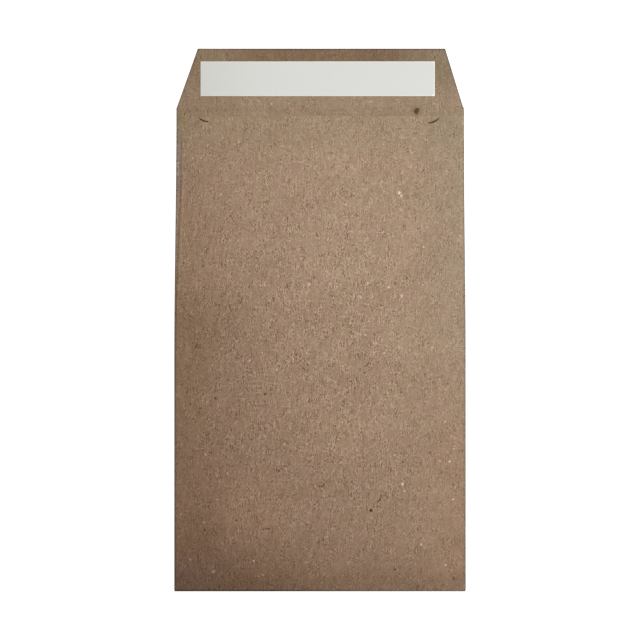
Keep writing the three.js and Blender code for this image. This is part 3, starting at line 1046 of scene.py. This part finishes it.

# %% [markdown]
# The outer face is the back panel, the strips of the side flaps beside it and the front. Painted shade
# darkens its left fold and a painted highlight pales its right fold, and the bottom fold gets the darkest
# painted shade of all. Over the panel lie broad tones, painted shade and light among them, and along each
# seam a shaded line with a lit one beside it, where the glued panel steps down on the side flap. The marks
# come last, so that no tone washes over them.

# %% Zones of the outer face
ON_BACK = ("z", 0.28, 0.34)  # the height at which the side flaps and the back panel begin
BELOW_CUT = ("y", 96, 88)
# Painted shade along the left fold and its very edge, a painted highlight along the right fold, and by the
# mouth a cooler band on the left with a darker painted-shade edge.
PAINTED_FOLD_LIGHT_AND_TONE = {
    "painted shade on the left fold": ([("x", 5, -5), ("y", -70, 25), ("inside", 1.5, 0.3)], (0.87, 0.88, 0.92)),
    "painted shade at its very edge": ([("x", 5, -5), ("y", -70, 25), ("inside", 0.7, 0.0)], (0.66, 0.66, 0.70)),
    "painted highlight on the right fold": ([("x", -5, 5), ("inside", 1.1, 0.3)], (1.1, 1.2, 1.32)),
    "left by the mouth": ([("x", 5, -5), ("y", 60, 90), ("inside", 3.2, 1.4)], (0.93, 1.0, 1.1)),
    "its edge": ([("x", 5, -5), ("y", 60, 90), ("inside", 0.7, 0.2)], (0.80, 0.90, 0.97)),
}
# Painted shade darkens the sheet above the bottom fold and low on all but the right; the other broad zones
# make some areas a little darker, some cooler and some warmer.
BROAD_TONES = {
    "above the bottom fold": ([("y", -126, -136)], (0.90, 0.88, 0.86)),
    "bottom left corner": ([("y", -116, -134), ("x", -42, -66)], (0.96, 0.99, 1.12)),
    "bottom right corner": ([("y", -126, -138), ("x", 62, 73)], (0.88, 0.92, 0.92)),
    "left side": ([("x", -46, -66), ("y", 66, 46), ("y", -125, -108)], (0.96, 0.955, 0.915)),
    "all but the right, low": ([("y", -108, -136), ("x", 75, 40)], (0.865, 0.85, 0.83)),
    "upper third": ([("y", 35, 75)], (0.965, 0.965, 0.96)),
    "below the mouth": ([("y", 80, 98)], (0.92, 0.955, 0.92)),
    "right side, high": ([("x", 45, 70), ("y", -40, 20)], (0.95, 1.0, 1.02)),
    "right side, low": ([("x", 45, 70), ("y", -20, -80)], (1.0, 0.96, 0.93)),
}
SEAM_LINES = {
    "shaded line": ([ON_BACK, BELOW_CUT, ("from seam", 0.75, 0.1)], (0.75, 0.76, 0.73)),
    "lit line": ([ON_BACK, BELOW_CUT, ("from lit line", 0.8, 0.2), ("y", 20, 50)], (1.07, 1.09, 1.06)),
}
LIT_LINE_INSIDE = 1.3
print("zones:", len(PAINTED_FOLD_LIGHT_AND_TONE) + len(BROAD_TONES) + len(SEAM_LINES))

# %% The outer face
OUTER_FELT = 0.82
MIDDLE_FELT = 0.38  # how much livelier the felt is in the middle than in the corners
LIVELIEST = (-8.0, -25.0)
BOTTOM_FOLD_SHADE_LEFT = (0.34, 0.46, 0.44)
BOTTOM_FOLD_SHADE_RIGHT = (0.64, 0.76, 0.82)
SIDE_FLAP_LOW = (0.95, 1.0, 1.07)
SIDE_FLAP_HIGH = (0.97, 1.0, 0.89)
PAINTED_BROAD_SHADE = (0.86, 0.85, 0.82)
PAINTED_BROAD_LIGHT = (1.11, 1.10, 1.09)
SMUDGE = (1.32, 1.26, 1.34)
DARK_MARK = (0.05, 0.03, 0.015)
PALE_MARK = (0.75, 0.64, 0.5)


def in_the_middle(tree, x, y):
    """1 where the felt is liveliest, falling to 0 towards the corners."""
    across = calc(tree, "ABSOLUTE", calc(tree, "SUBTRACT", x, LIVELIEST[0]))
    along = calc(tree, "ABSOLUTE", calc(tree, "SUBTRACT", y, LIVELIEST[1]))
    return calc(tree, "MULTIPLY", ramp(tree, across, 80, 20), ramp(tree, along, 125, 40))


def outer_tones(tree, colour, level, ways):
    """The colour with painted shade and highlights along its folds, its broad tones and its seams."""
    colour = zoned(tree, colour, ways, PAINTED_FOLD_LIGHT_AND_TONE)
    # Painted shade along the bottom fold, the darkest line of all, darker on the left.
    bottom_fold_shade = mixed(tree, ramp(tree, ways["x"], -30, 65), BOTTOM_FOLD_SHADE_LEFT, BOTTOM_FOLD_SHADE_RIGHT)
    colour = tinted(tree, colour, ramp(tree, ways["y"], -138.3, -139.2), bottom_fold_shade)
    colour = zoned(tree, colour, ways, BROAD_TONES)
    # Broad painted shade and light, then the pale smudges.
    for marks, tint in ((BROAD_DARK, PAINTED_BROAD_SHADE), (BROAD_PALE, PAINTED_BROAD_LIGHT), (SMUDGES, SMUDGE)):
        colour = tinted(tree, colour, strongest(tree, soft_spot, level, marks), tint)
    flap_tint = mixed(tree, ramp(tree, ways["y"], 86, 102), SIDE_FLAP_LOW, SIDE_FLAP_HIGH)
    in_view = ramp(tree, ways["past seam"], -0.1, 0.2)
    colour = tinted(tree, colour, calc(tree, "MULTIPLY", ways["on back"], in_view), flap_tint)
    return zoned(tree, colour, ways, SEAM_LINES)


def outer_marks(tree, colour, level, z, on_back):
    """The colour with its marks and with the shade in the nicks."""
    dark_spots = strongest(tree, soft_spot, level, BACK_DARK)
    dark = calc(tree, "MAXIMUM", dark_spots, strongest(tree, short_hair, level, BACK_HAIRS))
    colour = mixed(tree, calc(tree, "MULTIPLY", on_back, dark), colour, DARK_MARK)
    pale = strongest(tree, soft_spot, level, BACK_PALE)
    colour = mixed(tree, calc(tree, "MULTIPLY", on_back, pale), colour, PALE_MARK)
    # Painted shade on the paper below the back panel at the nicks.
    below_panel = calc(tree, "MULTIPLY", on_back, ramp(tree, z, 0.68, 0.62))
    painted_nick_shade = calc(tree, "MULTIPLY", below_panel, strongest(tree, soft_spot, level, UNDER_NICKS))
    return mixed(tree, painted_nick_shade, colour, DEEP_SHADE)


def make_outer_face():
    made, tree, shader = new_material("kraft_outer_face", roughness=0.9, specular=0.2)
    level, x, y, z = object_mm(tree)
    livelier = calc(tree, "MULTIPLY", in_the_middle(tree, x, y), MIDDLE_FELT)
    paper = grouped(tree, kraft_pattern, calc(tree, "ADD", livelier, OUTER_FELT))
    past_seam = attribute(tree, "outside_back")
    ways = {"x": x, "y": y, "z": z, "inside": attribute(tree, "inside_outline"), "past seam": past_seam}
    ways["from seam"] = calc(tree, "ABSOLUTE", past_seam)
    ways["from lit line"] = calc(tree, "ABSOLUTE", calc(tree, "ADD", past_seam, LIT_LINE_INSIDE))
    ways["on back"] = ramp(tree, z, *ON_BACK[1:])
    colour = outer_tones(tree, paper["Color"], level, ways)
    colour = outer_marks(tree, colour, level, z, ways["on back"])
    finish_paper(tree, shader, colour, paper["Height"], relief=0.6)
    return made


outer_face = make_outer_face()
print("outer face nodes:", len(outer_face.node_tree.nodes))

# %% [markdown]
# Where the die cut the sheet, the edge shows clean fibres that no hand has rubbed, so it is a little
# paler than the faces and has no marks. With the three materials in place the sheet gets its thickness.

# %% The cut edge, and the sheet's thickness
CUT_FELT = 1.0
CUT_TINT = (1.1, 1.08, 1.05)


def make_cut_edge():
    made, tree, shader = new_material("kraft_cut_edge", roughness=0.95, specular=0.1)
    paper = grouped(tree, kraft_pattern, CUT_FELT)
    colour = tinted(tree, paper["Color"], 1.0, CUT_TINT)
    finish_paper(tree, shader, colour, paper["Height"], relief=0.2)
    return made


for material in (inner_face, outer_face, make_cut_edge()):
    kraft_envelope.data.materials.append(material)
apply_modifiers(kraft_envelope)

# %% [markdown]
# ## Liner and glue
# The liner is a smooth coated paper, nearly white, with a faint sheen and a very fine cloudiness. Its
# cut edge is a touch warmer, most of all at the right end. The glue under it only shows as a thin cream
# line from the side.

# %% The release liner
LINER_WHITE = (0.64, 0.68, 0.647)
LINER_PAINTED_SHADE = (0.80, 0.765, 0.755)
LINER_EDGE = (0.80, 0.77, 0.68)
LINER_CLOUDS = 0.012
LINER_BUMP = 0.15
LINER_RELIEF = 0.03 * MM


def make_liner_face():
    made, tree, shader = new_material("liner_paper", roughness=0.42, specular=0.4)
    level, x, _, _ = object_mm(tree)
    cloudy = felt(tree, level, angle=0.2, along=9.0, across=5.0, detail=2.0)
    fine = felt(tree, level, angle=0.0, along=0.8, across=0.8, detail=2.0)
    tones = [calc(tree, "MULTIPLY", value, LINER_CLOUDS) for value in (cloudy, fine)]
    colour = vector_calc(tree, "MULTIPLY", LINER_WHITE, calc(tree, "ADD", 1.0, *tones))
    # Painted shade, darker towards the liner's right end.
    colour = tinted(tree, colour, ramp(tree, x, -75, 75), LINER_PAINTED_SHADE)
    near_edge = ramp(tree, attribute(tree, "inside_outline"), 0.7, 0.1)
    right_end = calc(tree, "MULTIPLY", ramp(tree, x, 57, 58), 0.5)
    warm = calc(tree, "MULTIPLY", near_edge, calc(tree, "ADD", 0.35, right_end))
    bump = node(tree, "Bump", Strength=LINER_BUMP, Distance=LINER_RELIEF, Height=fine)
    feed(tree, shader.inputs["Base Color"], mixed(tree, warm, colour, LINER_EDGE))
    feed(tree, shader.inputs["Normal"], bump.outputs[0])
    return made


def dress_strip(strip, material):
    """One material for both faces and the rim, and the strip's thickness."""
    for _ in range(RIM_SLOT + 1):
        strip.data.materials.append(material)
    apply_modifiers(strip)


dress_strip(liner_strip, make_liner_face())

# %% The glue line
GLUE_DARK = (0.62, 0.55, 0.40)
GLUE_PALE = (0.74, 0.68, 0.54)


def make_glue():
    made, tree, shader = new_material("strip_adhesive", roughness=0.3, specular=0.5)
    beads = felt(tree, object_mm(tree)[0], angle=0.0, along=2.0, across=1.2, detail=2.0)
    colour = mixed(tree, ramp(tree, beads, -0.6, 0.6), GLUE_DARK, GLUE_PALE)
    feed(tree, shader.inputs["Base Color"], colour)
    return made


dress_strip(glue_line, make_glue())

# %% [markdown]
# ## Tie the pieces to the frame
# Each new sheet stands for the CAD node of the same piece and rides on the one body of this model.

# %% Ride and replace
for piece, cad_node, slot in (
    (kraft_envelope, "envelope_sheet", "kraft_paper"),
    (glue_line, "adhesive_strip", "strip_adhesive"),
    (liner_strip, "release_liner", "liner_paper"),
):
    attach(piece, "root")
    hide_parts(cad_node)
    print(piece.name, "stands for", cad_node)

# %% [markdown]
# ## Table and light
# The table is white without end. Its surface is pale, and what the camera sees of it also glows a
# little, so that it clips to white but still shows the shade under the envelope. The world is white to
# the camera and a dim warm grey as light.

# %% The floor
FLOOR_HALF = 1.5
FLOOR_DROP = 0.05 * MM
FLOOR_GREY = (0.4, 0.4, 0.4)
WHITE = (1, 1, 1)
GLOW = 0.9

floor_grid = flat_grid(4, 4, FLOOR_HALF)
bmesh.ops.translate(floor_grid, verts=floor_grid.verts, vec=(0, 0, -FLOOR_DROP))
floor_data = bpy.data.meshes.new("floor")
floor_grid.to_mesh(floor_data)
floor_grid.free()
floor = bpy.data.objects.new("floor", floor_data)
bpy.context.scene.collection.objects.link(floor)
pale_table, table_tree, table_shader = new_material("pale_table", roughness=0.9, specular=0.1)
seen_directly = node(table_tree, "LightPath").outputs["Is Camera Ray"]
feed(table_tree, table_shader.inputs["Base Color"], FLOOR_GREY)
feed(table_tree, table_shader.inputs["Emission Color"], WHITE)
glow = calc(table_tree, "MULTIPLY", seen_directly, GLOW)
feed(table_tree, table_shader.inputs["Emission Strength"], glow)
floor_data.materials.append(pale_table)
print("floor in metres:", 2 * FLOOR_HALF)

# %% The world
AMBIENT = (0.45, 0.35, 0.32)

world = bpy.data.worlds.new("studio")
world.use_nodes = True
bpy.context.scene.world = world
sky = world.node_tree
path = node(sky, "LightPath").outputs
rays = [path[kind] for kind in ("Is Camera Ray", "Is Glossy Ray", "Is Transmission Ray")]
seen = calc(sky, "MAXIMUM", *rays)
feed(sky, sky.nodes["Background"].inputs["Color"], mixed(sky, seen, AMBIENT, WHITE))
print("ambient light:", AMBIENT)

# %% [markdown]
# In the photograph the right side is the brightest and the lower left corner the darkest. So one soft
# lamp hangs on the right, level with the upper half, and points past the sheet, which leaves the far
# corner to the edge of its cone. A weak second lamp lifts the upper left corner, where the photograph
# stays lighter than one lamp alone would leave it.


# %% The lamps
def soft_lamp(name, place, target, energy, spread, blend, size, tint=WHITE):
    """A spot lamp at a place in metres that points at its target."""
    data = bpy.data.lights.new(name, "SPOT")
    data.energy = energy
    data.color = tint
    data.spot_size = math.radians(spread)
    data.spot_blend = blend
    data.shadow_soft_size = size
    lamp = bpy.data.objects.new(name, data)
    lamp.location = place
    lamp.rotation_euler = (Vector(target) - Vector(place)).to_track_quat("-Z", "Y").to_euler()
    bpy.context.scene.collection.objects.link(lamp)
    print(name, "hangs at", place)


LAMP_PLACE = (0.114, 0.116, 0.414)
LAMP_TARGET = (0.291, 0.133, 0)
LAMP_TINT = (0.92, 1.0, 1.04)
FILL_PLACE = (-0.150, 0.210, 0.320)
FILL_TARGET = (-0.085, 0.138, 0)
soft_lamp(
    "soft_lamp", LAMP_PLACE, LAMP_TARGET, energy=5.2, spread=120, blend=0.547, size=0.05, tint=LAMP_TINT
)
soft_lamp("fill_lamp", FILL_PLACE, FILL_TARGET, energy=0.35, spread=50, blend=1.0, size=0.04)
bpy.context.scene.view_settings.view_transform = "Standard"
